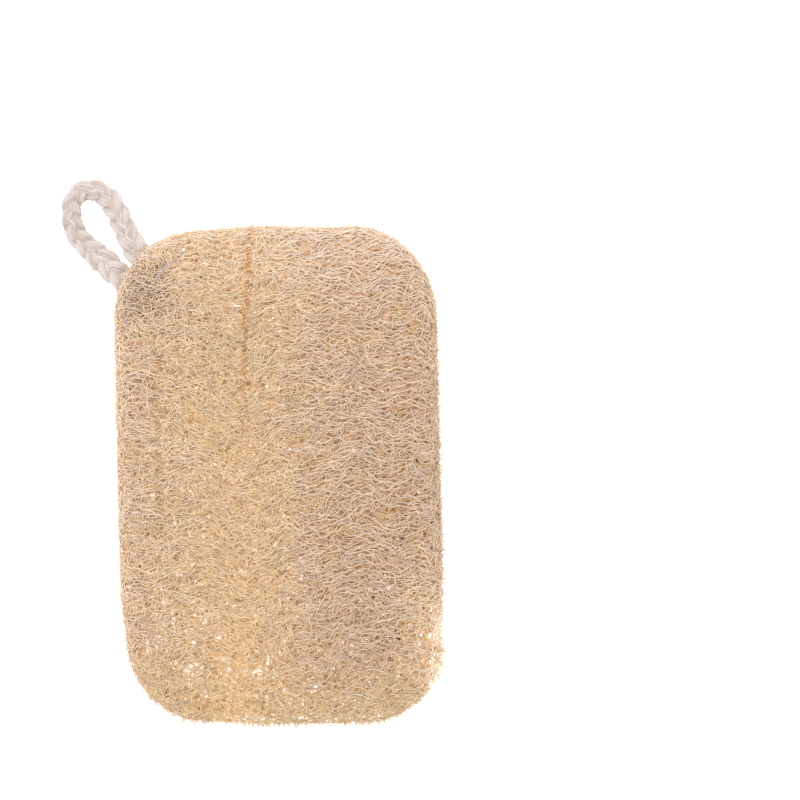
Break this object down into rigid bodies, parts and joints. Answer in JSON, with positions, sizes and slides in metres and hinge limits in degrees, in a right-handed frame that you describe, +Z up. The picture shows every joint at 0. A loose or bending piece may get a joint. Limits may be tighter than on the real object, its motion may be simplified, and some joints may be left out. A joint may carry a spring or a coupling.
{
  "type": "natural loofah sponge",
  "caption": "Flat rounded-rectangle scrubbing pad of natural loofah fibre, with a braided cotton hanging loop sewn into one corner.",
  "frame": {"origin": "under the middle of the pad, on the surface that it lies on", "axes": "+Y along the pad's length towards the end with the hanging loop, +X across it, +Z up through its thickness"},
  "size_m": [0.1167, 0.1708, 0.0151],
  "materials": {
    "loofah_fibre": "matt dried plant fibre",
    "cotton_cord": "matt braided cotton",
    "cotton_thread": "twisted sewing thread"
  },
  "bodies": {
    "root": {"loofah_pad": "loofah_fibre", "hanging_cord": "cotton_cord", "seam_thread": "cotton_thread"}
  },
  "joints": []
}
